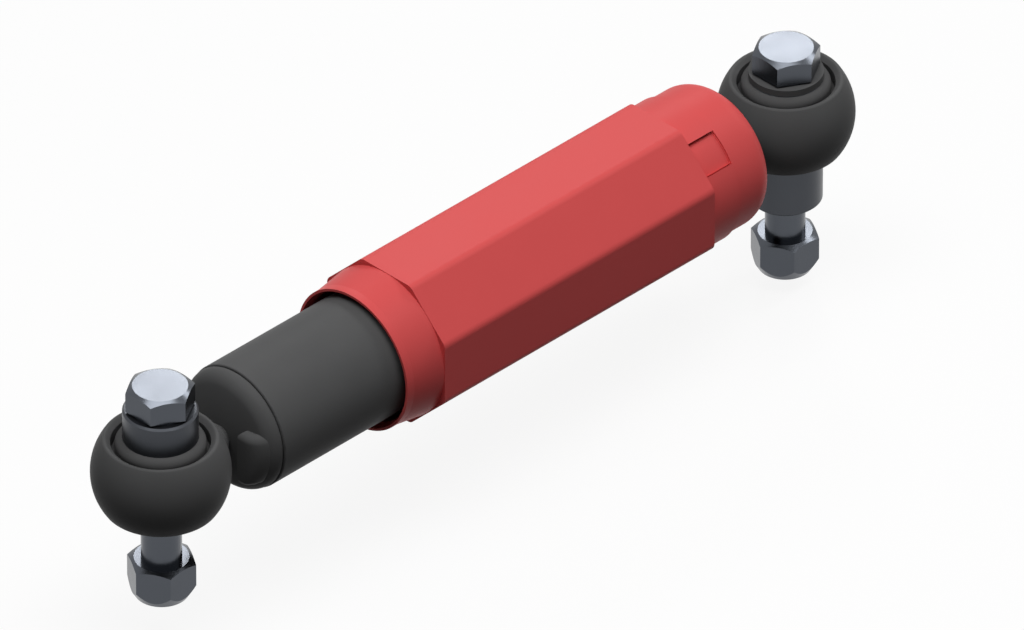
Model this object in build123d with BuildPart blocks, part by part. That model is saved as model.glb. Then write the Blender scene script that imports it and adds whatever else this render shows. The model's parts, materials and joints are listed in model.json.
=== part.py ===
# Twin-tube shock absorber with a rubber-bushed eye and an M12 bolt at each end.
# Millimetres. X runs along the damper from the tube's eye to the rod's eye, and Z up
# along the bolts. The origin lies on the tube-end bolt's axis, on the face of its sleeve
# that the machine's bracket bears on.
import os
from math import cos, radians, sqrt, tan

from build123d import *

os.makedirs("parts", exist_ok=True)

# Layout and stroke
compression_travel = 35.0
rebound_travel = 25.0
stop_gap = 0.5  # left at either end of the stroke
running_gap = 0.05  # radial, wherever one piece slides or turns in another

# Forged eyes, the same at both ends
eye_wall = 5.9  # from the bore to the ball
eye_end_wall = 1.9  # from the bore to the ball, at the eye's two ends
eye_countersink = 1.7
eye_rim_round = 0.9
neck_radius = 5.5
neck_length = 5.5  # from the eye's outside to the flange
flange_step = 0.35  # the flange is this much smaller than the tube
shoulder_depth = 5.0  # the rounded part of the flange
shoulder_round = 6.0
cap_stop_depth = 2.5  # where the cover's end cap stops against the shoulder
flange_land = 3.0
lug_depth = 3.4  # the tube eye's flange has a lug on either side of the neck
lug_inside = 9.0
lug_outside = 16.0
lug_half_height = 7.3
lug_round = 2.9

# Rubber bushes and the steel sleeves in them
sleeve_radius = 11.05
sleeve_edge = 0.6
tube_sleeve_above = 22.1  # above the damper's axis
tube_sleeve_below = 14.6
rod_sleeve_above = 12.6
rod_sleeve_below = 30.5
bush_wall = 3.5
bush_rise = 0.15  # the crown stands this far out of the eye
bush_roll = 2.9  # from the crown's top to its rim
bush_groove = 1.3  # between the crown's rim and the eye
bush_groove_depth = 2.9

# M12 bolts and nuts
bolt_radius = 6.0
bolt_hole_radius = 6.1
bolt_point = 1.0  # chamfer at the bolt's end
hex_across_flats = 18.0
head_height = 7.5
head_turn = 30.0
head_collar = 0.6  # the round face under the hexagon
head_collar_radius = 8.7
head_washer = 2.0  # the black washer under the rod end's bolt head
head_washer_edge = 0.1  # outside the sleeve
nut_height = 12.4
nut_turn = 0.0
hex_face_radius = 8.1  # where the chamfer meets the hexagon's face
hex_slope = 30.0
nut_cone_slope = 60.0  # at the nut's lower end, round its nylon ring
lock_ring_radius = 7.3
lock_ring_height = 2.6
lock_lip = 0.6  # the nut's rim that keeps the ring in
lock_lip_radius = 6.6
tube_grip = 15.8  # room for the bracket between sleeve and nut
rod_grip = 12.2
bolt_overhang = 1.2  # of the bolt past its nut

# Tubes
tube_radius = 19.6
tube_wall = 1.6
tube_edge = 0.45
roll_radius = 3.0  # where the far end is rolled in
roll_hole_radius = 12.5
spigot_length = 5.0  # of the end cap in the tube
cylinder_bore = 13.0  # radius of the pressure tube's bore
cylinder_wall = 1.5

# Base valve
foot_height = 2.0
foot_wall = 3.5
valve_plate = 2.0
valve_spigot = 3.0
valve_rim_gap = 1.5  # between the valve's plate and the outer tube
valve_ports = 6
valve_port_radius = 1.5
valve_port_centres = 8.0
valve_pin_radius = 2.5
valve_pin_head = 4.5
valve_disc = 0.6
check_plate = 0.6
check_port_gap = 0.5
check_spring = 1.2
check_spring_wire = 0.4
valve_top_gap = 0.8  # between the pin and the piston's nut at full compression

# Piston and rod
rod_radius = 6.0
rod_neck_radius = 4.5  # through the piston
rod_tip = 1.0
rod_chamfer = 0.6
rod_socket = 7.0  # depth of the rod in its eye's flange
piston_length = 12.0
piston_side_gap = 0.2
ring_width = 6.0
ring_wall = 1.4
ring_side_gap = 0.05
piston_ports = 5
outer_port_radius = 1.25
outer_port_centres = 9.7
inner_port_radius = 1.1
inner_port_centres = 6.5
piston_nut_flats = 14.0
piston_nut_height = 6.0
shim = 0.3
shims = 3
rebound_shim_radius = 8.0
compression_shim_radius = 11.2
shim_step = 1.2
support_thickness = 2.0
support_radius = 7.0
clip_place = 1.2  # from the rod's shoulder
clip_width = 1.4
clip_depth = 0.6
clip_radius = 8.0
rebound_stop_length = 6.0
rebound_stop_radius = 10.5

# Rod guide and seal
guide_spigot = 3.0
guide_length = 11.0
guide_bush_wall = 1.5
seal_pocket_radius = 11.5
seal_pocket_depth = 4.0
seal_flange = 3.0
seal_lip_radius = 7.8
seal_lip_length = 3.4
spring_wire = 0.58
ring_wire = 1.03  # of the O-ring round the guide
ring_groove_width = 2.3
ring_groove_place = 4.0  # from the guide's shoulder

# Bump stop on the rod
bump_length = 28.6
bump_radius = 13.5
bump_wave_depth = 3.0
bump_waves = 3
bump_land = 3.0

# Octagonal cover. Distances along it are measured from the rod eye's centre.
end_cap_gap = 0.7  # from the flange's face to the end cap's
end_cap_length = 16.0
collar_length = 11.5
octagon_length = 111.1
mouth_length = 13.6
cover_wall = 1.5
cover_corner = 3.0
facet_height = 0.85  # of the octagon's sides over the collar
lip_clearance = 3.0  # from the tube to the mouth's outside
lip_flare = 1.5
lip_length = 2.8
lip_thickness = 0.8
collar_clearance = 3.8  # from the tube to the collar's outside
collar_wall = 2.0
window_width = 11.2
window_angle = 135.0
end_cap_step = 0.7  # the cap is this much smaller than the collar
end_cap_round = 7.0
joint_width = 0.25  # the open joint round the cap's rim
joint_depth = 0.6
spigot_wall = 1.6
spigot_reach = 10.5
tab_height = 0.5
tab_side_gap = 0.3
bead_height = 0.45
bead_width = 1.2
cap_gap = 0.1

# Worked out from the sizes above
axis_height = tube_sleeve_below
eye_bore_radius = sleeve_radius + running_gap + bush_wall
ball_radius = eye_bore_radius + eye_wall
eye_end_radius = eye_bore_radius + eye_end_wall
eye_half_height = sqrt(ball_radius**2 - eye_end_radius**2)
bush_crown = eye_half_height + bush_rise
bush_edge = bush_crown - bush_roll
bush_grip = bush_edge - bush_groove_depth
tube_bore = tube_radius - tube_wall
flange_radius = tube_radius - flange_step
collar_radius = tube_radius + collar_clearance
end_cap_radius = collar_radius - end_cap_step
spigot_radius = collar_radius - collar_wall - running_gap
lip_radius = tube_radius + lip_clearance
cover_flats = 2 * (collar_radius + facet_height)
flange_face = ball_radius + neck_length  # from the eye's centre, as are the next four
cap_stop = flange_face + cap_stop_depth
lug_face = flange_face - lug_depth
flange_seam = flange_face + shoulder_depth
flange_back = flange_seam + flange_land
end_cap_face = flange_face + end_cap_gap
cover_collar_end = end_cap_face + end_cap_length
cover_octagon_end = cover_collar_end + collar_length
cover_octagon_start = cover_octagon_end + octagon_length
cover_mouth = cover_octagon_start + mouth_length
tube_start = flange_seam
cap_inside = tube_start + spigot_length
cylinder_start = cap_inside + foot_height + valve_plate
cylinder_radius = cylinder_bore + cylinder_wall
valve_top = cylinder_start + valve_spigot + check_plate + check_spring
pin_top = valve_top + valve_disc
rod_end = pin_top + valve_top_gap + compression_travel
nut_start = rod_end + rod_tip
support_start = nut_start + piston_nut_height
rebound_shims_start = support_start + support_thickness
piston_start = rebound_shims_start + shim * shims
piston_end = piston_start + piston_length
stop_plate_start = piston_end + shim * shims
rod_shoulder = stop_plate_start + support_thickness
clip_start = rod_shoulder + clip_place
rebound_stop_start = clip_start + clip_width
rebound_stop_end = rebound_stop_start + rebound_stop_length
guide_start = rebound_stop_end + rebound_travel + stop_gap
guide_shoulder = guide_start + guide_spigot
guide_end = guide_shoulder + guide_length
seal_end = guide_end + seal_flange
tube_end = seal_end + tube_wall
rod_flange_back = tube_end + compression_travel + stop_gap + bump_length
eye_spacing = rod_flange_back + flange_back  # 256.8 between the two bolts, as it is shown

tube_eye_centre = Vector(0, 0, axis_height)
rod_eye_centre = Vector(eye_spacing, 0, axis_height)
damper_axis = Axis((0, 0, axis_height), (1, 0, 0))


def along(x):
    """The plane across the damper at x, seen from the rod's end, its own Y axis up."""
    return Plane(origin=(x, 0, axis_height), x_dir=(0, 1, 0), z_dir=(1, 0, 0))


def lengthwise(centre, side=1):
    """The upright plane through the damper's axis. Its X axis leaves centre towards side."""
    return Plane(origin=centre, x_dir=(side, 0, 0), z_dir=(0, -side, 0))


def level(height):
    """The level plane at a height over the damper's axis."""
    return Plane.XY.offset(axis_height + height)


def shoulder_at(distance):
    """The radius of a flange's rounded shoulder, at a distance from its eye's centre."""
    return flange_radius - shoulder_round + sqrt(shoulder_round**2 - (flange_seam - distance) ** 2)


damper_section = lengthwise((0, 0, axis_height))
cover_section = lengthwise(rod_eye_centre, -1)


# Forged eyes
def make_eye(centre, side, socket):
    """An eye with its neck and flange. Side points from the eye along the damper."""
    half = eye_half_height
    spread = eye_end_wall / eye_countersink
    sink_radius = eye_bore_radius + spread * (ball_radius - half + eye_countersink)

    def is_rim(edge):
        return abs(edge.radius - eye_end_radius) < 0.01

    with BuildPart() as eye:
        with BuildSketch(lengthwise(centre, side)):
            with BuildLine():
                Polyline(
                    (0, 0),
                    (0, neck_radius),
                    (flange_face, neck_radius),
                    (flange_face, shoulder_at(flange_face)),
                )
                RadiusArc(
                    (flange_face, shoulder_at(flange_face)),
                    (flange_seam, flange_radius),
                    shoulder_round,
                )
                if side > 0:
                    Polyline(
                        (flange_seam, flange_radius),
                        (flange_seam, tube_bore),
                        (cap_inside, tube_bore),
                        (cap_inside, 0),
                        (0, 0),
                    )
                else:
                    Polyline(
                        (flange_seam, flange_radius),
                        (flange_back, flange_radius),
                        (flange_back, 0),
                        (0, 0),
                    )
            make_face()
        revolve(axis=Axis(centre, (1, 0, 0)))
        with BuildSketch(lengthwise(centre)):
            with BuildLine():
                ThreePointArc((0, -ball_radius), (ball_radius, 0), (0, ball_radius))
                Line((0, ball_radius), (0, -ball_radius))
            make_face()
        revolve(axis=Axis(centre, (0, 0, 1)))
        # the bore, with countersinks that also take the ball's ends off
        with BuildSketch(lengthwise(centre)):
            with BuildLine():
                Polyline(
                    (0, -ball_radius),
                    (sink_radius, -ball_radius),
                    (eye_bore_radius, eye_countersink - half),
                    (eye_bore_radius, half - eye_countersink),
                    (sink_radius, ball_radius),
                    (0, ball_radius),
                    close=True,
                )
            make_face()
        revolve(axis=Axis(centre, (0, 0, 1)), mode=Mode.SUBTRACT)
        rims = eye.edges().filter_by(GeomType.CIRCLE).filter_by(is_rim)
        fillet(rims, radius=eye_rim_round)
        if socket > 0:
            with BuildSketch(along(centre.X + side * flange_back)):
                Circle(rod_radius)
            extrude(amount=-side * socket, mode=Mode.SUBTRACT)
    return eye


def make_bush(centre):
    """The rubber bush, its ends crowned, grooved inside the eye and held at its middle."""
    inner = sleeve_radius + running_gap
    rim = eye_bore_radius - bush_groove
    middle = (inner + rim) / 2
    crown = bush_edge + (bush_crown - bush_edge) * cos(radians(30))
    with BuildPart() as bush:
        with BuildSketch(lengthwise(centre)):
            with BuildLine():
                Line((inner, -bush_crown), (inner, bush_crown))
                ThreePointArc((inner, bush_crown), (middle, crown), (rim, bush_edge))
                Polyline(
                    (rim, bush_edge),
                    (rim, bush_grip),
                    (eye_bore_radius, bush_grip),
                    (eye_bore_radius, -bush_grip),
                    (rim, -bush_grip),
                    (rim, -bush_edge),
                )
                ThreePointArc((rim, -bush_edge), (middle, -crown), (inner, -bush_crown))
            make_face()
        revolve(axis=Axis(centre, (0, 0, 1)))
    return bush


def make_sleeve(centre, above, below):
    """A turned sleeve whose lower face bears on the machine's bracket."""
    with BuildPart() as sleeve:
        with BuildSketch(level(-below)):
            with Locations((centre.X, centre.Y)):
                Circle(sleeve_radius)
                Circle(bolt_hole_radius, mode=Mode.SUBTRACT)
        extrude(amount=below + above)
        rims = sleeve.edges().filter_by(GeomType.CIRCLE).filter_by(lambda e: e.radius > bolt_hole_radius)
        chamfer(rims, length=sleeve_edge)
    return sleeve


def make_hexagon(centre, height, thickness, turn, low_slope):
    """A hexagon from a height upwards. Its corners are turned off at the top, and below too."""
    corner = hex_across_flats / 2 / cos(radians(30))
    drop = (corner - hex_face_radius) * tan(radians(hex_slope))
    rise = (corner - hex_face_radius) * tan(radians(low_slope))
    lower = [(hex_face_radius, 0), (corner, rise)] if low_slope > 0 else [(corner, 0)]
    upper = [(corner, thickness - drop), (hex_face_radius, thickness), (0, thickness)]
    with BuildPart() as hexagon:
        with BuildSketch(level(height)):
            with Locations((centre.X, centre.Y)):
                RegularPolygon(hex_across_flats / 2, 6, major_radius=False, rotation=turn)
        extrude(amount=thickness)
        with BuildSketch(lengthwise(centre + Vector(0, 0, height))):
            with BuildLine():
                Polyline((0, 0), *lower, *upper, close=True)
            make_face()
        revolve(axis=Axis(centre, (0, 0, 1)), mode=Mode.INTERSECT)
    return hexagon


def make_bolt(centre, seat, below, grip):
    """The bolt's head sits at seat, over the axis, and its shank ends just past the nut."""
    length = seat + below + grip + nut_height + bolt_overhang
    head = make_hexagon(centre, seat + head_collar, head_height, head_turn, low_slope=0)
    with BuildPart() as bolt:
        add(head.part)
        with BuildSketch(level(seat)):
            with Locations((centre.X, centre.Y)):
                Circle(head_collar_radius)
        extrude(amount=head_collar)
        with BuildSketch(level(seat)):
            with Locations((centre.X, centre.Y)):
                Circle(bolt_radius)
        extrude(amount=-length)
        chamfer(bolt.edges().filter_by(GeomType.CIRCLE).sort_by(Axis.Z)[0], length=bolt_point)
    return bolt


def make_nut(centre, below, grip):
    """The lock nut, with the bracket's thickness left free between it and the sleeve."""
    foot = -below - grip - nut_height
    body = make_hexagon(centre, foot, nut_height, nut_turn, low_slope=nut_cone_slope)
    with BuildPart() as nut:
        add(body.part)
        for start, radius, depth in (
            (foot, lock_lip_radius, lock_lip),
            (foot + lock_lip, lock_ring_radius, lock_ring_height),
            (foot + lock_lip, bolt_radius, nut_height - lock_lip),
        ):
            with BuildSketch(level(start)):
                with Locations((centre.X, centre.Y)):
                    Circle(radius)
            extrude(amount=depth, mode=Mode.SUBTRACT)
    return nut


def make_washer(centre, height, thickness, inner, outer):
    """A flat ring round a bolt, from a height over the damper's axis upwards."""
    with BuildPart() as washer:
        with BuildSketch(level(height)):
            with Locations((centre.X, centre.Y)):
                Circle(outer)
                Circle(inner, mode=Mode.SUBTRACT)
        extrude(amount=thickness)
    return washer


def make_lock_ring(centre, below, grip):
    """The nylon ring in the foot of a lock nut."""
    foot = -below - grip - nut_height
    return make_washer(centre, foot + lock_lip, lock_ring_height, bolt_radius, lock_ring_radius)


def make_ring(start, end, inner, outer):
    """A plain ring or disc round the damper's axis, from start to end along it."""
    with BuildPart() as ring:
        with BuildSketch(along(start)):
            Circle(outer)
            if inner > 0:
                Circle(inner, mode=Mode.SUBTRACT)
        extrude(amount=end - start)
    return ring


def make_torus(place, radius, wire):
    """A ring of round wire at a place along the damper's axis."""
    with BuildPart() as torus:
        with BuildSketch(damper_section):
            with Locations((place, radius)):
                Circle(wire)
        revolve(axis=damper_axis)
    return torus


def keep(piece, name):
    """Label a finished piece and write it."""
    piece.part.label = name
    export_step(piece.part, f"parts/{name}.step")


def make_lug(side):
    """A lug on the tube eye's flange, rounded at its face but not at its outer end."""
    with BuildPart() as lug:
        with BuildSketch(level(-lug_half_height)):
            with Locations(((lug_face + flange_seam) / 2, side * (lug_inside + lug_outside) / 2)):
                Rectangle(flange_seam - lug_face, lug_outside - lug_inside)
        extrude(amount=2 * lug_half_height)
        face_edges = lug.faces().sort_by(Axis.X)[0].edges()
        fillet(face_edges.sort_by(lambda edge: abs(edge.center().Y))[:3], radius=lug_round)
    return lug


with BuildPart() as tube_eye:
    add(make_eye(tube_eye_centre, 1, 0).part)
    add(make_lug(1).part)
    add(make_lug(-1).part)
keep(tube_eye, "tube_eye")
keep(make_eye(rod_eye_centre, -1, rod_socket), "rod_eye")

keep(make_bush(tube_eye_centre), "tube_eye_bush")
keep(make_bush(rod_eye_centre), "rod_eye_bush")

keep(make_sleeve(tube_eye_centre, tube_sleeve_above, tube_sleeve_below), "tube_end_sleeve")
keep(make_sleeve(rod_eye_centre, rod_sleeve_above, rod_sleeve_below), "rod_end_sleeve")

rod_head_seat = rod_sleeve_above + head_washer
keep(make_bolt(tube_eye_centre, tube_sleeve_above, tube_sleeve_below, tube_grip), "tube_end_bolt")
keep(make_bolt(rod_eye_centre, rod_head_seat, rod_sleeve_below, rod_grip), "rod_end_bolt")
keep(
    make_washer(
        rod_eye_centre,
        rod_sleeve_above,
        head_washer,
        bolt_hole_radius,
        sleeve_radius + head_washer_edge,
    ),
    "rod_end_washer",
)
keep(make_nut(tube_eye_centre, tube_sleeve_below, tube_grip), "tube_end_nut")
keep(make_nut(rod_eye_centre, rod_sleeve_below, rod_grip), "rod_end_nut")
keep(make_lock_ring(tube_eye_centre, tube_sleeve_below, tube_grip), "tube_end_lock_ring")
keep(make_lock_ring(rod_eye_centre, rod_sleeve_below, rod_grip), "rod_end_lock_ring")


# Tubes
with BuildPart() as outer_tube:
    roll_inside = roll_radius - tube_wall
    with BuildSketch(damper_section):
        with BuildLine():
            Line((tube_start, tube_bore), (tube_start, tube_radius - tube_edge))
            RadiusArc(
                (tube_start, tube_radius - tube_edge),
                (tube_start + tube_edge, tube_radius),
                tube_edge,
            )
            Line((tube_start + tube_edge, tube_radius), (tube_end - roll_radius, tube_radius))
            RadiusArc(
                (tube_end - roll_radius, tube_radius),
                (tube_end, tube_radius - roll_radius),
                roll_radius,
            )
            Polyline(
                (tube_end, tube_radius - roll_radius),
                (tube_end, roll_hole_radius),
                (seal_end, roll_hole_radius),
                (seal_end, tube_bore - roll_inside),
            )
            RadiusArc(
                (seal_end, tube_bore - roll_inside),
                (seal_end - roll_inside, tube_bore),
                -roll_inside,
            )
            Line((seal_end - roll_inside, tube_bore), (tube_start, tube_bore))
        make_face()
    revolve(axis=damper_axis)
keep(outer_tube, "outer_tube")

keep(make_ring(cylinder_start, guide_shoulder, cylinder_bore, cylinder_radius), "pressure_tube")


# Base valve
with BuildPart() as base_valve_body:
    rim = tube_bore - valve_rim_gap
    plate_start = cap_inside + foot_height
    with BuildSketch(damper_section):
        with BuildLine():
            Polyline(
                (cap_inside, rim - foot_wall),
                (cap_inside, rim),
                (cylinder_start, rim),
                (cylinder_start, cylinder_bore),
                (cylinder_start + valve_spigot, cylinder_bore),
                (cylinder_start + valve_spigot, valve_pin_radius),
                (plate_start, valve_pin_radius),
                (plate_start, rim - foot_wall),
                close=True,
            )
        make_face()
    revolve(axis=damper_axis)
    # the foot is slotted, so that oil reaches the valve from the reservoir
    with BuildSketch(along(cap_inside)):
        Rectangle(3 * rim, 2 * foot_wall)
        Rectangle(2 * foot_wall, 3 * rim)
    extrude(amount=foot_height, mode=Mode.SUBTRACT)
    with BuildSketch(along(plate_start)):
        with PolarLocations(valve_port_centres, valve_ports):
            Circle(valve_port_radius)
    extrude(amount=valve_plate + valve_spigot, mode=Mode.SUBTRACT)
keep(base_valve_body, "base_valve_body")

disc_radius = valve_port_centres + valve_port_radius + check_port_gap
disc_start = cap_inside + foot_height - valve_disc
check_start = cylinder_start + valve_spigot
keep(make_ring(disc_start, disc_start + valve_disc, valve_pin_radius, disc_radius), "base_valve_disc")
keep(make_ring(check_start, check_start + check_plate, valve_pin_radius, disc_radius), "base_check_plate")

with BuildPart() as base_check_spring:
    spring_low = check_start + check_plate
    with BuildSketch(damper_section):
        with BuildLine():
            Polyline(
                (spring_low, disc_radius - check_port_gap),
                (spring_low + check_spring_wire, disc_radius - check_port_gap),
                (valve_top, valve_pin_head),
                (valve_top, valve_pin_radius),
                (valve_top - check_spring_wire, valve_pin_radius),
                (spring_low, disc_radius - 2 * valve_port_radius),
                close=True,
            )
        make_face()
    revolve(axis=damper_axis)
keep(base_check_spring, "base_check_spring")

with BuildPart() as base_valve_pin:
    with BuildSketch(damper_section):
        with BuildLine():
            Polyline(
                (disc_start - valve_disc, 0),
                (disc_start - valve_disc, valve_pin_head),
                (disc_start, valve_pin_head),
                (disc_start, valve_pin_radius),
                (valve_top, valve_pin_radius),
                (valve_top, valve_pin_head),
                (pin_top, valve_pin_head),
                (pin_top, 0),
                close=True,
            )
        make_face()
    revolve(axis=damper_axis)
keep(base_valve_pin, "base_valve_pin")


# Piston, its valves and the rod
with BuildPart() as piston_rod:
    with BuildSketch(damper_section):
        with BuildLine():
            Polyline(
                (rod_end, 0),
                (rod_end, rod_neck_radius - rod_chamfer),
                (rod_end + rod_chamfer, rod_neck_radius),
                (rod_shoulder, rod_neck_radius),
                (rod_shoulder, rod_radius - rod_chamfer),
                (rod_shoulder + rod_chamfer, rod_radius),
                (clip_start, rod_radius),
                (clip_start, rod_radius - clip_depth),
                (rebound_stop_start, rod_radius - clip_depth),
                (rebound_stop_start, rod_radius),
                (rod_flange_back + rod_socket, rod_radius),
                (rod_flange_back + rod_socket, 0),
                close=True,
            )
        make_face()
    revolve(axis=damper_axis)
keep(piston_rod, "piston_rod")

piston_radius = cylinder_bore - piston_side_gap
band_start = piston_start + (piston_length - ring_width) / 2
band_outer = cylinder_bore - running_gap
band_inner = band_outer - ring_wall
with BuildPart() as piston:
    with BuildSketch(damper_section):
        with BuildLine():
            groove = band_start - ring_side_gap
            groove_end = band_start + ring_width + ring_side_gap
            Polyline(
                (piston_start, rod_neck_radius),
                (piston_start, piston_radius),
                (groove, piston_radius),
                (groove, band_inner - running_gap),
                (groove_end, band_inner - running_gap),
                (groove_end, piston_radius),
                (piston_end, piston_radius),
                (piston_end, rod_neck_radius),
                close=True,
            )
        make_face()
    revolve(axis=damper_axis)
    with BuildSketch(along(piston_start)):
        with PolarLocations(outer_port_centres, piston_ports):
            Circle(outer_port_radius)
        with PolarLocations(inner_port_centres, piston_ports, start_angle=180 / piston_ports):
            Circle(inner_port_radius)
    extrude(amount=piston_length, mode=Mode.SUBTRACT)
keep(piston, "piston")
keep(make_ring(band_start, band_start + ring_width, band_inner, band_outer), "piston_ring")


def keep_shims(start, side, first_radius, name):
    """Write a stack of thin spring discs, each smaller than the one before it."""
    stack = []
    for number in range(shims):
        near = start + side * number * shim
        stack.append(
            make_ring(near, near + side * shim, rod_neck_radius, first_radius - number * shim_step).part
        )
    export_step(Compound(label=name, children=stack), f"parts/{name}.step")


keep_shims(piston_start, -1, rebound_shim_radius, "rebound_shims")
keep_shims(piston_end, 1, compression_shim_radius, "compression_shims")
support_end = support_start + support_thickness
keep(make_ring(support_start, support_end, rod_neck_radius, support_radius), "support_washer")
keep(make_ring(stop_plate_start, rod_shoulder, rod_neck_radius, support_radius), "valve_stop_plate")

with BuildPart() as piston_nut:
    with BuildSketch(along(nut_start)):
        RegularPolygon(piston_nut_flats / 2, 6, major_radius=False)
        Circle(rod_neck_radius, mode=Mode.SUBTRACT)
    extrude(amount=piston_nut_height)
keep(piston_nut, "piston_nut")

keep(make_ring(clip_start, rebound_stop_start, rod_radius - clip_depth, clip_radius), "stop_clip")
keep(
    make_ring(rebound_stop_start, rebound_stop_end, rod_radius, rebound_stop_radius),
    "rebound_stop",
)


# Rod guide and seal
guide_bush_radius = rod_radius + running_gap + guide_bush_wall
pocket_start = guide_end - seal_pocket_depth
groove_start = guide_shoulder + ring_groove_place
with BuildPart() as rod_guide:
    groove_floor = tube_bore - 2 * ring_wire
    with BuildSketch(damper_section):
        with BuildLine():
            Polyline(
                (guide_start, guide_bush_radius),
                (guide_start, cylinder_bore),
                (guide_shoulder, cylinder_bore),
                (guide_shoulder, tube_bore),
                (groove_start, tube_bore),
                (groove_start, groove_floor),
                (groove_start + ring_groove_width, groove_floor),
                (groove_start + ring_groove_width, tube_bore),
                (guide_end, tube_bore),
                (guide_end, seal_pocket_radius),
                (pocket_start, seal_pocket_radius),
                (pocket_start, guide_bush_radius),
                close=True,
            )
        make_face()
    revolve(axis=damper_axis)
keep(rod_guide, "rod_guide")
keep(
    make_ring(guide_start, pocket_start, rod_radius + running_gap, guide_bush_radius),
    "guide_bush",
)
keep(
    make_torus(groove_start + ring_groove_width / 2, tube_bore - ring_wire, ring_wire),
    "guide_ring",
)

with BuildPart() as rod_seal:
    lip = rod_radius + running_gap
    lip_start = guide_end - seal_lip_length
    with BuildSketch(damper_section):
        with BuildLine():
            Polyline(
                (lip_start, lip),
                (lip_start, seal_lip_radius),
                (guide_end, seal_lip_radius),
                (guide_end, tube_bore),
                (seal_end - roll_inside, tube_bore),
                (seal_end, tube_bore - roll_inside),
                (seal_end, lip),
                close=True,
            )
        make_face()
    revolve(axis=damper_axis)
keep(rod_seal, "rod_seal")
keep(make_torus(lip_start + 2 * spring_wire, seal_lip_radius + spring_wire, spring_wire), "seal_spring")


# Bump stop
with BuildPart() as bump_stop:
    wave = (bump_length - 2 * bump_land) / bump_waves
    bump_start = rod_flange_back - bump_length
    with BuildSketch(damper_section):
        with BuildLine():
            Polyline(
                (bump_start + bump_land, bump_radius),
                (bump_start, bump_radius),
                (bump_start, rod_radius),
                (rod_flange_back, rod_radius),
                (rod_flange_back, bump_radius),
                (rod_flange_back - bump_land, bump_radius),
            )
            for number in range(bump_waves):
                left = bump_start + bump_land + number * wave
                ThreePointArc(
                    (left, bump_radius),
                    (left + wave / 2, bump_radius - bump_wave_depth),
                    (left + wave, bump_radius),
                )
        make_face()
    revolve(axis=damper_axis)
keep(bump_stop, "bump_stop")


# Octagonal cover. Its sections are drawn from the rod eye's centre back along the damper.
def octagon(distance, flats, corner):
    """The cover's eight-sided section, at a distance from the rod eye's centre."""
    with BuildSketch(along(eye_spacing - distance)) as outline:
        RegularPolygon(flats / 2, 8, major_radius=False, rotation=22.5)
        fillet(outline.vertices(), radius=corner)
    return outline.sketch


outside = octagon(cover_octagon_start, cover_flats, cover_corner)
inside = octagon(
    cover_octagon_start - cover_wall, cover_flats - 2 * cover_wall, cover_corner - cover_wall
)
with BuildPart() as cover_shell:
    collar_inside = collar_radius - collar_wall
    flare_radius = lip_radius + lip_flare
    with BuildSketch(cover_section):
        with BuildLine():
            Polyline(
                (cover_mouth, 0),
                (cover_mouth, lip_radius),
                (cover_mouth - lip_length, lip_radius),
                (cover_octagon_start, flare_radius),
                (cover_octagon_end, collar_radius),
                (cover_collar_end, collar_radius),
                (cover_collar_end, 0),
                close=True,
            )
        make_face()
    revolve(axis=damper_axis)
    extrude(outside, amount=cover_octagon_start - cover_octagon_end)
    extrude(
        inside,
        amount=cover_octagon_start - cover_octagon_end - 2 * cover_wall,
        mode=Mode.SUBTRACT,
    )
    with BuildSketch(cover_section):
        with BuildLine():
            Polyline(
                (cover_mouth, 0),
                (cover_mouth, lip_radius - lip_thickness),
                (cover_mouth - lip_length, lip_radius - cover_wall),
                (cover_octagon_start - cover_wall, flare_radius - cover_wall),
                (cover_octagon_end + cover_wall, collar_inside),
                (cover_collar_end, collar_inside),
                (cover_collar_end, 0),
                close=True,
            )
        make_face()
    revolve(axis=damper_axis, mode=Mode.SUBTRACT)
    # two windows in the collar take the end cap's tabs
    with BuildSketch(along(eye_spacing - cover_octagon_end)):
        Rectangle(3 * collar_radius, window_width, rotation=window_angle)
        Circle(collar_inside, mode=Mode.SUBTRACT)
    extrude(amount=cover_octagon_end - cover_collar_end, mode=Mode.SUBTRACT)
keep(cover_shell, "cover_shell")

with BuildPart() as cover_cap:
    opening = shoulder_at(cap_stop) + cap_gap
    rim_face = cover_collar_end - joint_width
    rim_seat = end_cap_radius - joint_depth
    round_centre = end_cap_face + end_cap_round
    rise = opening - end_cap_radius + end_cap_round
    opening_face = round_centre - sqrt(end_cap_round**2 - rise**2)
    seat = flange_radius + running_gap
    bead = flange_back + bead_width
    spigot_inside = spigot_radius - spigot_wall
    spigot_end = cover_collar_end + spigot_reach
    with BuildSketch(cover_section):
        with BuildLine():
            RadiusArc(
                (opening_face, opening),
                (round_centre, end_cap_radius),
                end_cap_round,
            )
            Polyline(
                (round_centre, end_cap_radius),
                (rim_face, end_cap_radius),
                (rim_face, rim_seat),
                (cover_collar_end, rim_seat),
                (cover_collar_end, spigot_radius),
                (spigot_end, spigot_radius),
                (spigot_end, spigot_inside),
                (bead, spigot_inside),
                (bead, flange_radius - bead_height),
                (flange_back + running_gap, flange_radius - bead_height),
                (flange_back + running_gap, seat),
                (cap_stop, seat),
                (cap_stop, opening),
                (opening_face, opening),
            )
        make_face()
    revolve(axis=damper_axis)
    # the tabs that snap into the cover's windows
    with BuildSketch(along(eye_spacing - spigot_end)):
        Circle(spigot_radius + tab_height)
        Circle(spigot_inside, mode=Mode.SUBTRACT)
        Rectangle(
            3 * collar_radius,
            window_width - 2 * tab_side_gap,
            rotation=window_angle,
            mode=Mode.INTERSECT,
        )
    extrude(amount=spigot_end - cover_collar_end)
keep(cover_cap, "cover_cap")
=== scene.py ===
# %% [markdown]
# Shock absorber, dressed for its portrait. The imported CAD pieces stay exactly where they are.
# This file gives each of them its finish, cuts the threads on the bolts, turns the flange of the
# tube's eye with softer edges, and sets the stage: a pale floor, soft studio light and a camera
# with a very long lens.

# %% Load the frame
import json
import math

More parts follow.
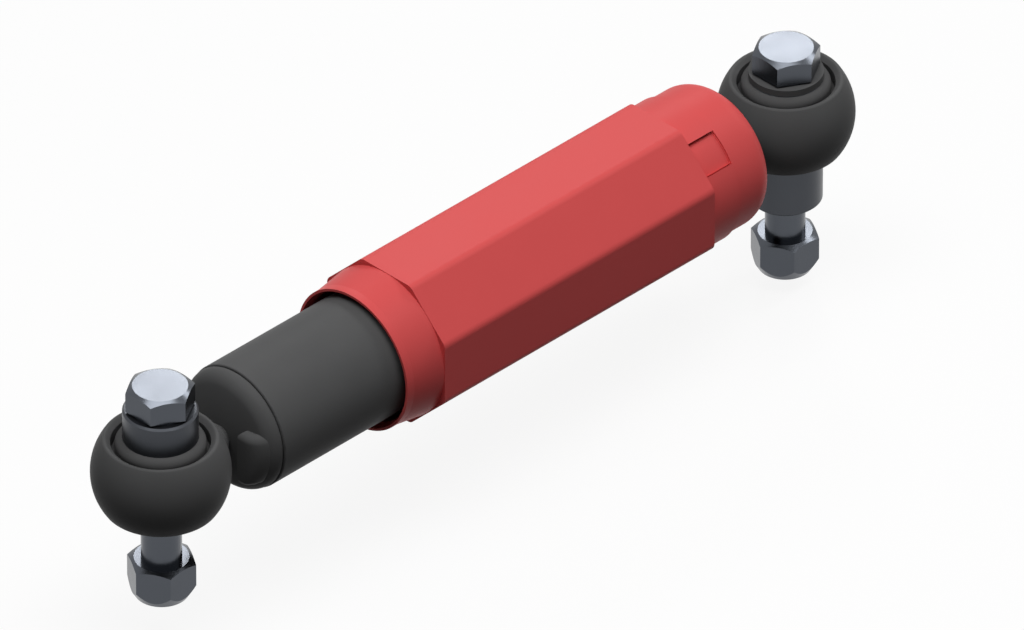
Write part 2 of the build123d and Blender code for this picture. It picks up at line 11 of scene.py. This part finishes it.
import bmesh
import bpy
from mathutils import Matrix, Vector


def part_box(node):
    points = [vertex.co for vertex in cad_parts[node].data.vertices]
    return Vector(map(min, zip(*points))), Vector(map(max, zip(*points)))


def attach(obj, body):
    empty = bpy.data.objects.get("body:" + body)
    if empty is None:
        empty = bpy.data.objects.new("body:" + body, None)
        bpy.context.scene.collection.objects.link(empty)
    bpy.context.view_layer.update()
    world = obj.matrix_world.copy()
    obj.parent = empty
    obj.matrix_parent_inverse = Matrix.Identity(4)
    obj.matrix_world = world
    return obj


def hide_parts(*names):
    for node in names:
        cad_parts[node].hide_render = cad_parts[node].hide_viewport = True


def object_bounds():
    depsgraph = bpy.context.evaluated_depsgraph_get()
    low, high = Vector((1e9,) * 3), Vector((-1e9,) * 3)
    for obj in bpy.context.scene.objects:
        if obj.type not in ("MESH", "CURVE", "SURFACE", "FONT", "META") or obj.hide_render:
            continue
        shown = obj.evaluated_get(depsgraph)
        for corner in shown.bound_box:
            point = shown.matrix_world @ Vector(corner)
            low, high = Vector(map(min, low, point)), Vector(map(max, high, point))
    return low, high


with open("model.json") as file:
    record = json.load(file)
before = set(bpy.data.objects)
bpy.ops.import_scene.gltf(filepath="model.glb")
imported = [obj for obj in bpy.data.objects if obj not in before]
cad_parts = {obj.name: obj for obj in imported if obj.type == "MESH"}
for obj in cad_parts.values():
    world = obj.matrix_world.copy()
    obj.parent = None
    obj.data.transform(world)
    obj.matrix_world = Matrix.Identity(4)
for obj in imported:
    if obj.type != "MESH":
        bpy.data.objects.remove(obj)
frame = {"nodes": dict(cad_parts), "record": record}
cad_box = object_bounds()
bpy.context.scene.view_settings.view_transform = "Standard"
print("nodes:", len(frame["nodes"]))

# %% [markdown]
# The photograph is a drawing-like view: the two ends of the damper have the same scale, and its
# three axes look equally short, as in a true isometric view. A long lens from a great distance
# comes within two pixels of that and is still an ordinary perspective camera.

# %% Camera
AZIMUTH = math.radians(-45)
ELEVATION = math.atan(math.sqrt(0.5))
LENS = 1040.0
SENSOR = 36.0
FARTHEST = 100.0  # metres from the camera that it still sees
PICTURE_WIDTH = 0.29846  # metres across the picture, at the damper
AIM = Vector((0.1432, 0.0, -0.0021))


def towards(azimuth, elevation):
    """The direction from the damper to something that looks at it from there."""
    level = math.cos(elevation)
    return Vector((math.sin(azimuth) * level, -math.cos(azimuth) * level, math.sin(elevation)))


def make_camera():
    """A camera that looks at the middle of the damper from afar."""
    lens = bpy.data.cameras.new("camera")
    lens.lens = LENS
    lens.sensor_width = SENSOR
    lens.clip_end = FARTHEST
    camera = bpy.data.objects.new("camera", lens)
    bpy.context.scene.collection.objects.link(camera)
    back = towards(AZIMUTH, ELEVATION)
    camera.location = AIM + back * (PICTURE_WIDTH * LENS / SENSOR)
    camera.rotation_mode = "QUATERNION"
    camera.rotation_quaternion = (-back).to_track_quat("-Z", "Y")
    bpy.context.scene.camera = camera
    print("camera distance:", round((camera.location - AIM).length, 3), "m")


make_camera()

# %% [markdown]
# A material is a small graph of shader nodes. These helpers add a node, fill its inputs by name
# or number, and wire it up in one call, so that each finish below reads as a short list.

# %% Helpers for shader graphs
FLOAT = "NodeSocketFloat"
COLOUR = "NodeSocketColor"
VECTOR = "NodeSocketVector"


def add_node(tree, kind, inputs=None, **settings):
    """A node of that kind. An input is a number, or another node's output to wire in."""
    node = tree.nodes.new(kind)
    for name, value in settings.items():
        setattr(node, name, value)
    for name, value in (inputs or {}).items():
        if isinstance(value, bpy.types.NodeSocket):
            tree.links.new(value, node.inputs[name])
        else:
            node.inputs[name].default_value = value
    return node


def add_math(tree, operation, *values):
    """A Math node's result."""
    return add_node(
        tree, "ShaderNodeMath", dict(enumerate(values)), operation=operation
    ).outputs[0]


def new_group(name, inputs, outputs):
    """An empty shader node group. Inputs are (label, type, default) and outputs (label, type)."""
    group = bpy.data.node_groups.new(name, "ShaderNodeTree")
    for label, kind, value in inputs:
        socket = group.interface.new_socket(label, in_out="INPUT", socket_type=kind)
        socket.default_value = value
    for label, kind in outputs:
        group.interface.new_socket(label, in_out="OUTPUT", socket_type=kind)
    return group, group.nodes.new("NodeGroupInput").outputs, group.nodes.new("NodeGroupOutput")


# %% [markdown]
# No real surface is the same all over. One group serves every finish: it mottles the colour a
# little, lets the roughness wander, and raises a fine relief. Bump distance is in metres, so
# 0.00005 is a skin of a twentieth of a millimetre at full strength.

# %% Group: surface skin
SKIN_DEPTH = 0.00005
CLOUD_SCALE = 90.0
CLOUD_DETAIL = 4.0
GRAIN_DETAIL = 3.0


def make_skin_group():
    """The group that turns a finish's plain values into ones that change over the surface."""
    group, given, end = new_group(
        "surface skin",
        [
            ("Colour", COLOUR, (0.5, 0.5, 0.5, 1)),
            ("Grain", FLOAT, 2000.0),
            ("Mottle", FLOAT, 0.1),
            ("Roughness", FLOAT, 0.5),
            ("Roughness change", FLOAT, 0.1),
            ("Relief", FLOAT, 0.1),
        ],
        [("Colour", COLOUR), ("Roughness", FLOAT), ("Normal", VECTOR)],
    )
    where = add_node(group, "ShaderNodeTexCoord").outputs["Object"]
    cloud = add_node(
        group,
        "ShaderNodeTexNoise",
        {"Vector": where, "Scale": CLOUD_SCALE, "Detail": CLOUD_DETAIL},
    ).outputs["Fac"]
    fine = add_node(
        group,
        "ShaderNodeTexNoise",
        {"Vector": where, "Scale": given["Grain"], "Detail": GRAIN_DETAIL},
    ).outputs["Fac"]
    swing = add_math(group, "SUBTRACT", cloud, 0.5)
    gain = add_math(group, "MULTIPLY_ADD", swing, given["Mottle"], 1.0)
    tint = add_node(
        group, "ShaderNodeVectorMath", {0: given["Colour"], "Scale": gain}, operation="SCALE"
    ).outputs[0]
    rough = add_math(
        group, "MULTIPLY_ADD", swing, given["Roughness change"], given["Roughness"]
    )
    bump = add_node(
        group,
        "ShaderNodeBump",
        {"Strength": given["Relief"], "Distance": SKIN_DEPTH, "Height": fine},
    ).outputs[0]
    for label, socket in (("Colour", tint), ("Roughness", rough), ("Normal", bump)):
        group.links.new(socket, end.inputs[label])
    return group


SKIN = make_skin_group()
print("group:", SKIN.name)

# %% [markdown]
# Every finish starts from a Principled shader fed by that group. What is the same all over, such
# as how metallic it is, sits on the shader's own sockets.

# %% Helper: a finish


def new_finish(name, surface, **shading):
    """A material whose colour, roughness and relief come from the surface skin."""
    material = bpy.data.materials.new(name)
    material.use_nodes = True
    tree = material.node_tree
    shader = tree.nodes["Principled BSDF"]
    group = add_node(tree, "ShaderNodeGroup", node_tree=SKIN)
    for label, value in surface.items():
        group.inputs[label].default_value = value
    tree.links.new(group.outputs["Colour"], shader.inputs["Base Color"])
    tree.links.new(group.outputs["Roughness"], shader.inputs["Roughness"])
    tree.links.new(group.outputs["Normal"], shader.inputs["Normal"])
    for label, value in shading.items():
        shader.inputs[label.replace("_", " ")].default_value = value
    print("finish:", name)
    return material


def skin(colour, roughness, grain=2000.0, mottle=0.1, change=0.1, relief=0.1):
    """The values that the surface skin takes."""
    return {
        "Colour": (*colour, 1),
        "Grain": grain,
        "Mottle": mottle,
        "Roughness": roughness,
        "Roughness change": change,
        "Relief": relief,
    }


# %% [markdown]
# The black parts are painted steel: nearly black, satin, with the faint orange peel of a sprayed
# coat. The rubber in the eyes is duller and has a finer grain.

# %% Finishes: paint and rubber
BLACK_PAINT = new_finish(
    "black satin paint",
    skin((0.092, 0.0925, 0.0935), 0.5, grain=900.0, mottle=0.12, change=0.08, relief=0.12),
    Specular_IOR_Level=0.03,
)
BLACK_RUBBER = new_finish(
    "black moulded rubber",
    skin((0.088, 0.088, 0.089), 0.65, grain=3500.0, mottle=0.15, change=0.1, relief=0.2),
    Specular_IOR_Level=0.03,
)

# %% [markdown]
# The cover is injection moulded in a strong red. Its satin skin comes from the mould, so the
# relief is finer than paint and the colour even.

# %% Finish: red plastic
RED_PLASTIC = new_finish(
    "red satin plastic",
    skin((0.68, 0.088, 0.088), 0.45, grain=5000.0, mottle=0.04, change=0.05, relief=0.08),
    Specular_IOR_Level=0.08,
)

# %% [markdown]
# A metal shows what it reflects, so each one is mostly a base colour and a roughness. In white
# surroundings the plated bolts look dark and slightly blue beside their bright tops, so their base
# colour is dark too. The sleeves are duller, turned steel, and the rod is hard chrome.

# %% Finishes: metals outside and in
ZINC = new_finish(
    "blue zinc plate",
    skin((0.08, 0.087, 0.1), 0.24, grain=2500.0, mottle=0.16, change=0.12, relief=0.1),
    Metallic=1.0,
)
SLEEVE_STEEL = new_finish(
    "turned sleeve steel",
    skin((0.058, 0.062, 0.07), 0.36, grain=2500.0, mottle=0.16, change=0.12, relief=0.12),
    Metallic=1.0,
)
PLAIN_STEEL = new_finish(
    "oiled steel",
    skin((0.5, 0.5, 0.52), 0.3, mottle=0.2, relief=0.1),
    Metallic=1.0,
)
SINTERED_IRON = new_finish(
    "sintered iron",
    skin((0.22, 0.22, 0.23), 0.55, grain=6000.0, mottle=0.3, relief=0.5),
    Metallic=1.0,
)
BRONZE = new_finish(
    "bronze bush",
    skin((0.62, 0.42, 0.22), 0.35, mottle=0.2),
    Metallic=1.0,
)
CHROME = new_finish(
    "hard chrome",
    skin((0.8, 0.8, 0.82), 0.12, mottle=0.05, change=0.04, relief=0.02),
    Metallic=1.0,
)

# %% [markdown]
# Two plastics are hidden inside: the nylon rings of the lock nuts, and a dark, filled plastic for
# the piston's band and the stop that limits its travel.

# %% Finishes: plastics inside
NYLON = new_finish(
    "plain nylon",
    skin((0.75, 0.74, 0.7), 0.4, mottle=0.06),
)
BAND_PLASTIC = new_finish(
    "filled band plastic",
    skin((0.12, 0.1, 0.09), 0.5, grain=4000.0, mottle=0.3),
)

# %% [markdown]
# The record names a material slot for every node, and each slot has one finish here.

# %% Dress the nodes
FINISHES = {
    "black_paint": BLACK_PAINT,
    "black_rubber": BLACK_RUBBER,
    "zinc_steel": ZINC,
    "sleeve_steel": SLEEVE_STEEL,
    "plain_steel": PLAIN_STEEL,
    "sintered_iron": SINTERED_IRON,
    "bronze": BRONZE,
    "chromed_rod": CHROME,
    "band_plastic": BAND_PLASTIC,
    "nylon": NYLON,
    "red_plastic": RED_PLASTIC,
}


def slot_of(node):
    """The material slot that the record gives a node."""
    for part in frame["record"]["subparts"]:
        if part["node"] == node:
            return part["material_slot"]
    raise KeyError(node)


def dress():
    """Give each CAD node the finish of its slot."""
    for name, node in frame["nodes"].items():
        node.data.materials.clear()
        node.data.materials.append(FINISHES[slot_of(name)])
    print("dressed", len(frame["nodes"]), "nodes")


dress()

# %% [markdown]
# Three CAD pieces get a finer form here. Each one starts as a copy of its node, is cut at a plane,
# and is joined to new shapes on the far side of the cut. These helpers do that.

# %% Helpers: copy, cut and join
TOUCH = 0.000002  # places closer than this are one place


def cut_away(shape, point, outward):
    """Cut a closed shape at a plane, take off the side that outward points to, and close it."""
    bmesh.ops.bisect_plane(
        shape,
        geom=shape.verts[:] + shape.edges[:] + shape.faces[:],
        plane_co=point,
        plane_no=outward,
        clear_outer=True,
    )
    rim = [edge for edge in shape.edges if edge.is_boundary]
    bmesh.ops.holes_fill(shape, edges=rim, sides=0)


def copy_of_node(name):
    """A CAD node's shape, closed, with its places kept."""
    shape = bmesh.new()
    shape.from_mesh(frame["nodes"][name].data)
    bmesh.ops.remove_doubles(shape, verts=shape.verts[:], dist=TOUCH)
    return shape


def join(shape, other):
    """Add another shape's faces to a shape."""
    mesh = bpy.data.meshes.new("added shape")
    other.to_mesh(mesh)
    other.free()
    shape.from_mesh(mesh)
    bpy.data.meshes.remove(mesh)


# %% [markdown]
# The result then stands for the CAD node and moves with its body. Machined edges stay crisp while
# round faces look smooth. The bolt head's chamfer leans by 30 degrees from its top, so edges count
# as sharp from 20 degrees on.

# %% Helpers: edges, and standing in for a node
SHARP_ANGLE = math.radians(20)


def keep_edges_crisp(shape):
    """Shade every face smooth, except across edges sharper than SHARP_ANGLE."""
    for face in shape.faces:
        face.smooth = True
    for edge in shape.edges:
        edge.smooth = edge.calc_face_angle(0.0) < SHARP_ANGLE


def stand_in(shape, node, body, finish):
    """Make the shape an object that stands for a CAD node and moves with its body."""
    keep_edges_crisp(shape)
    mesh = bpy.data.meshes.new(node + "_finished")
    shape.to_mesh(mesh)
    shape.free()
    mesh.materials.append(finish)
    piece = bpy.data.objects.new(node + "_finished", mesh)
    bpy.context.scene.collection.objects.link(piece)
    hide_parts(node)
    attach(piece, body)
    print(piece.name, len(mesh.vertices), "vertices")


# %% [markdown]
# The bolts come plain from CAD. Each gets its M12 thread here, from inside the nut to the tip: one
# profile of ridges is swept round the axis, sinking by a pitch per turn, and is then cut square at
# both ends. The rest of the bolt is a copy of the CAD shape, cut off where the thread begins.

# %% Thread: a swept stud
THREAD_RADIUS = 0.006
THREAD_PITCH = 0.00175
THREAD_DEPTH = 0.00107
THREAD_STEPS = 60
THREAD_LEAD = 1.5  # turns that the sweep starts above the cut
SPARE_TURNS = 3
TIP_CHAMFER = 0.0007
RIDGE = ((0.0, 1), (0.125, 1), (0.4375, 0), (0.6875, 0))  # share of a pitch, and 1 on the crest


def sweep_thread(centre, top, tip):
    """A threaded stud round a vertical axis, with a chamfered tip."""
    stud = bmesh.new()
    turns = math.ceil((top - tip) / THREAD_PITCH) + SPARE_TURNS
    points = []
    for turn in range(turns):
        for share, crest in RIDGE:
            radius = THREAD_RADIUS - (0 if crest else THREAD_DEPTH)
            height = top + (THREAD_LEAD - turn - share) * THREAD_PITCH
            points.append(stud.verts.new((centre + radius, 0, height)))
    edges = [stud.edges.new(pair) for pair in zip(points, points[1:])]
    bmesh.ops.spin(
        stud,
        geom=points + edges,
        cent=(centre, 0, 0),
        axis=(0, 0, 1),
        dvec=(0, 0, -THREAD_PITCH / THREAD_STEPS),
        angle=math.tau,
        steps=THREAD_STEPS,
    )
    bmesh.ops.remove_doubles(stud, verts=stud.verts[:], dist=TOUCH)
    cut_away(stud, (0, 0, top), (0, 0, 1))
    cut_away(stud, (0, 0, tip), (0, 0, -1))
    bmesh.ops.bisect_plane(
        stud,
        geom=stud.verts[:] + stud.edges[:] + stud.faces[:],
        plane_co=(0, 0, tip + TIP_CHAMFER),
        plane_no=(0, 0, 1),
    )
    for vertex in stud.verts:
        reach = math.hypot(vertex.co.x - centre, vertex.co.y)
        allowed = THREAD_RADIUS - max(0.0, tip + TIP_CHAMFER - vertex.co.z)
        if reach > allowed:
            vertex.co.x = centre + (vertex.co.x - centre) * allowed / reach
            vertex.co.y *= allowed / reach
    bmesh.ops.recalc_face_normals(stud, faces=stud.faces[:])
    return stud


# %% [markdown]
# The nut hides where the thread begins, so the cut through the bolt lies just inside it. Heights
# and centres are read from the frame.

# %% Threads on both bolts
THREAD_START = 0.0015  # below the nut's top face


def thread_bolt(bolt, nut, body):
    """Replace a plain CAD bolt with one that has a thread from its nut to its tip."""
    low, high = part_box(bolt)
    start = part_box(nut)[1][2] - THREAD_START
    shape = copy_of_node(bolt)
    cut_away(shape, (0, 0, start), (0, 0, -1))
    join(shape, sweep_thread((low[0] + high[0]) / 2, start, low[2]))
    stand_in(shape, bolt, body, ZINC)


thread_bolt("tube_end_bolt", "tube_end_nut", "tube_mount")
thread_bolt("rod_end_bolt", "rod_end_nut", "rod_mount")

# %% [markdown]
# The tube's eye is forged in one with its neck, its flange and a lug. In CAD the flange has a flat
# face and a lug on either side of the neck, where the photograph shows only the near one. Here the
# ring stays a copy of the CAD shape, up to a cut through the neck, and the flange is turned again
# round the damper's axis: the neck draws in to a waist, the face is slightly domed, the shoulder
# is a full round, and a notch marks the weld.

# %% Flange: one turned profile
NECK_CUT = 0.022  # along the damper, from the eye's centre
NECK_RADIUS = 0.0055
NECK_WAIST = 0.0038
DOME_RADIUS = 0.064
DOME_RINGS = 8
SHOULDER_ROUND = 0.0047
FLANGE_STEP = 0.00035
TUBE_WALL = 0.0016
WELD_NOTCH = 0.0006
TURNED_STEPS = 96


def arc(centre, radius, start, end, steps=12):
    """Points on an arc, as (along, out) pairs, from one angle to another in degrees."""
    turns = [math.radians(start + (end - start) * step / steps) for step in range(steps + 1)]
    along, out = centre
    return [(along + radius * math.cos(a), out + radius * math.sin(a)) for a in turns]


def turn_flange(seam, tube_radius, inside, height):
    """The neck, domed flange and spigot, turned round the damper's axis."""
    outside = tube_radius - FLANGE_STEP
    corner = (seam - WELD_NOTCH, outside - SHOULDER_ROUND)
    tilt = math.asin(corner[1] / (DOME_RADIUS - SHOULDER_ROUND))
    crown = corner[0] + (DOME_RADIUS - SHOULDER_ROUND) * math.cos(tilt) - DOME_RADIUS

    def dome(out):
        return crown + DOME_RADIUS - math.sqrt(DOME_RADIUS**2 - out**2)

    rim = DOME_RADIUS * math.sin(tilt)
    rings = [NECK_WAIST + (rim - NECK_WAIST) * ring / DOME_RINGS for ring in range(DOME_RINGS)]
    profile = [(NECK_CUT, 0.0), (NECK_CUT, NECK_RADIUS)]
    profile += [(dome(out), out) for out in rings]
    profile += arc(corner, SHOULDER_ROUND, 180 - math.degrees(tilt), 90)
    profile += [(seam, outside - WELD_NOTCH), (seam, tube_radius - TUBE_WALL)]
    profile += [(inside, tube_radius - TUBE_WALL), (inside, 0.0)]
    flange = bmesh.new()
    points = [flange.verts.new((along, 0, height + out)) for along, out in profile]
    edges = [flange.edges.new(pair) for pair in zip(points, points[1:])]
    bmesh.ops.spin(
        flange,
        geom=points + edges,
        cent=(0, 0, height),
        axis=(1, 0, 0),
        angle=math.tau,
        steps=TURNED_STEPS,
        use_merge=True,
    )
    bmesh.ops.remove_doubles(flange, verts=flange.verts[:], dist=TOUCH)
    bmesh.ops.recalc_face_normals(flange, faces=flange.faces[:])
    return flange


# %% [markdown]
# The lug stands beside the neck and runs out into the shoulder. It starts as a block. Its outer
# corner and both ends are rounded, it is sliced into thin levels, and each level is then narrowed,
# so that its outer side follows the round of the flange.

# %% Lug: a block with soft edges
LUG_FACE = 0.0222  # along the damper, from the eye's centre
LUG_BACK = 0.0295
LUG_INSIDE = 0.0087  # sideways, from the damper's axis
LUG_OUTSIDE = 0.0179
LUG_TOP = 0.0067  # upwards, from the damper's axis
LUG_FOOT = -0.0118
LUG_CORNER = 0.0064
LUG_ROUND = 0.0024
LUG_STEPS = 16


def make_lug(height):
    """The lug beside the neck. Its outer side is curved like the flange's edge."""
    lug = bmesh.new()
    bmesh.ops.create_cube(lug, size=1.0)
    size = (LUG_BACK - LUG_FACE, LUG_OUTSIDE - LUG_INSIDE, LUG_TOP - LUG_FOOT)
    middle = (
        (LUG_BACK + LUG_FACE) / 2,
        -(LUG_OUTSIDE + LUG_INSIDE) / 2,
        height + (LUG_TOP + LUG_FOOT) / 2,
    )
    bmesh.ops.scale(lug, vec=size, verts=lug.verts[:])
    bmesh.ops.translate(lug, vec=middle, verts=lug.verts[:])

    def is_corner(edge):
        """The upright edge at the front, away from the neck."""
        return all(
            abs(end.co.x - LUG_FACE) < TOUCH and abs(end.co.y + LUG_OUTSIDE) < TOUCH
            for end in edge.verts
        )

    def is_end(edge):
        """An edge of the block's top or foot."""
        return abs(edge.verts[0].co.z - edge.verts[1].co.z) < TOUCH

    for wanted, radius in ((is_corner, LUG_CORNER), (is_end, LUG_ROUND)):
        bmesh.ops.bevel(
            lug,
            geom=[edge for edge in lug.edges if wanted(edge)],
            offset=radius,
            segments=LUG_STEPS,
            affect="EDGES",
            profile=0.5,
            material=-1,
        )
    for step in range(1, LUG_STEPS):
        level = height + LUG_FOOT + (LUG_TOP - LUG_FOOT) * step / LUG_STEPS
        bmesh.ops.bisect_plane(
            lug,
            geom=lug.verts[:] + lug.edges[:] + lug.faces[:],
            plane_co=(0, 0, level),
            plane_no=(0, 0, 1),
        )
    for vertex in lug.verts:
        reach = math.sqrt(LUG_OUTSIDE**2 - (vertex.co.z - height) ** 2)
        share = (reach - LUG_INSIDE) / (LUG_OUTSIDE - LUG_INSIDE)
        vertex.co.y = (vertex.co.y + LUG_INSIDE) * share - LUG_INSIDE
    return lug


# %% [markdown]
# The ring, the flange and the lug meet or overlap, so from outside they look like one forging.
# The flange's spigot sits inside the tube. The tube's own box gives their places.

# %% The tube's eye, finished


def finish_tube_eye():
    """Replace the CAD eye with a copy of its ring, the turned flange and the lug."""
    tube_low, tube_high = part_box("outer_tube")
    height = (tube_low[2] + tube_high[2]) / 2
    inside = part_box("tube_eye")[1][0]
    shape = copy_of_node("tube_eye")
    cut_away(shape, (NECK_CUT, 0, 0), (1, 0, 0))
    join(shape, turn_flange(tube_low[0], tube_high[1], inside, height))
    join(shape, make_lug(height))
    stand_in(shape, "tube_eye", "tube_unit", BLACK_PAINT)


finish_tube_eye()

# %% [markdown]
# The stage is a pale floor just below the damper and a white world. The camera, and whatever
# shines or lets light through, sees both as white. The light that they give besides is soft and
# dim, so that the lamps shape the piece.

# %% Floor and world
FLOOR_SIZE = 60.0
FLOOR_DROP = 0.004  # below the lowest nut
FLOOR_WHITE_SHARE = 0.9  # this much of it glows, and the rest shows the shadow
FLOOR_DIM = 0.06  # its colour as a source of bounced light
FLOOR_PALE = 0.9
DIM_WORLD = 0.06


def white_rays(tree):
    """1 for the rays that should see white: camera, glossy and transmission."""
    path = add_node(tree, "ShaderNodeLightPath")
    pair = add_math(
        tree, "MAXIMUM", path.outputs["Is Camera Ray"], path.outputs["Is Glossy Ray"]
    )
    return add_math(tree, "MAXIMUM", pair, path.outputs["Is Transmission Ray"])


def make_floor():
    """A level floor just below the part. It is scenery, so it is kept out of the part's size."""
    lowest = cad_box[0].z - FLOOR_DROP
    mesh = bpy.data.meshes.new("floor")
    grid = bmesh.new()
    bmesh.ops.create_grid(grid, x_segments=1, y_segments=1, size=FLOOR_SIZE / 2)
    bmesh.ops.translate(grid, vec=(0, 0, lowest), verts=grid.verts)
    grid.to_mesh(mesh)
    grid.free()
    floor = bpy.data.objects.new("floor", mesh)
    bpy.context.scene.collection.objects.link(floor)
    material = bpy.data.materials.new("pale floor")
    material.use_nodes = True
    tree = material.node_tree
    tree.nodes.clear()
    seen = white_rays(tree)
    shade = add_node(
        tree, "ShaderNodeMapRange", {"Value": seen, "To Min": FLOOR_DIM, "To Max": FLOOR_PALE}
    ).outputs[0]
    matt = add_node(tree, "ShaderNodeBsdfDiffuse", {"Color": shade})
    white = add_node(tree, "ShaderNodeEmission", {"Strength": 1.0})
    share = add_math(tree, "MULTIPLY", seen, FLOOR_WHITE_SHARE)
    mixed = add_node(
        tree, "ShaderNodeMixShader", {0: share, 1: matt.outputs[0], 2: white.outputs[0]}
    )
    add_node(tree, "ShaderNodeOutputMaterial", {"Surface": mixed.outputs[0]})
    mesh.materials.append(material)
    print("floor at z =", round(lowest, 4))


def make_world():
    """A world that is white to look at and dim as a light."""
    world = bpy.data.worlds.new("world")
    world.use_nodes = True
    bpy.context.scene.world = world
    tree = world.node_tree
    background = tree.nodes["Background"]
    background.inputs["Color"].default_value = (1, 1, 1, 1)
    strength = add_node(
        tree, "ShaderNodeMapRange", {"Value": white_rays(tree), "To Min": DIM_WORLD, "To Max": 1.0}
    )
    tree.links.new(strength.outputs[0], background.inputs["Strength"])
    print("world strength as a light:", DIM_WORLD)


make_floor()
make_world()

# %% [markdown]
# One large softbox hangs overhead and gives the bright tops and dark flanks of the photograph.
# It is wide, which evens out its reflection along the near chamfers of the bolt heads. Two small
# ones are there for the metals: flat tops reflect the one behind the damper to the camera, and
# steeper faces reflect the one beyond the rod end.

# %% Lamps
MIDDLE = Vector((0.128, 0.0, 0.02))


def add_softbox(name, offset, width, depth, power):
    """A rectangular area lamp that faces the middle of the damper."""
    light = bpy.data.lights.new(name, "AREA")
    light.shape = "RECTANGLE"
    light.size = width
    light.size_y = depth
    light.energy = power
    lamp = bpy.data.objects.new(name, light)
    bpy.context.scene.collection.objects.link(lamp)
    lamp.location = MIDDLE + Vector(offset)
    lamp.rotation_mode = "QUATERNION"
    lamp.rotation_quaternion = Vector(offset).to_track_quat("Z", "Y")
    print(name, "at", round(lamp.location.length, 2), "m,", power, "W")


add_softbox("overhead softbox", (-0.25, -0.25, 1.5), 1.7, 0.7, 22.0)
add_softbox("rod end softbox", (1.3, -0.2, 1.1), 0.4, 0.5, 5.0)
add_softbox("back softbox", (1.0, 1.0, 1.0), 0.34, 0.34, 4.5)

# %% [markdown]
# Last, the part's size, measured from the CAD pieces before they were dressed, is printed.

# %% Measure and finish
print("CAD size:", [round(v, 4) for v in cad_box[1] - cad_box[0]])
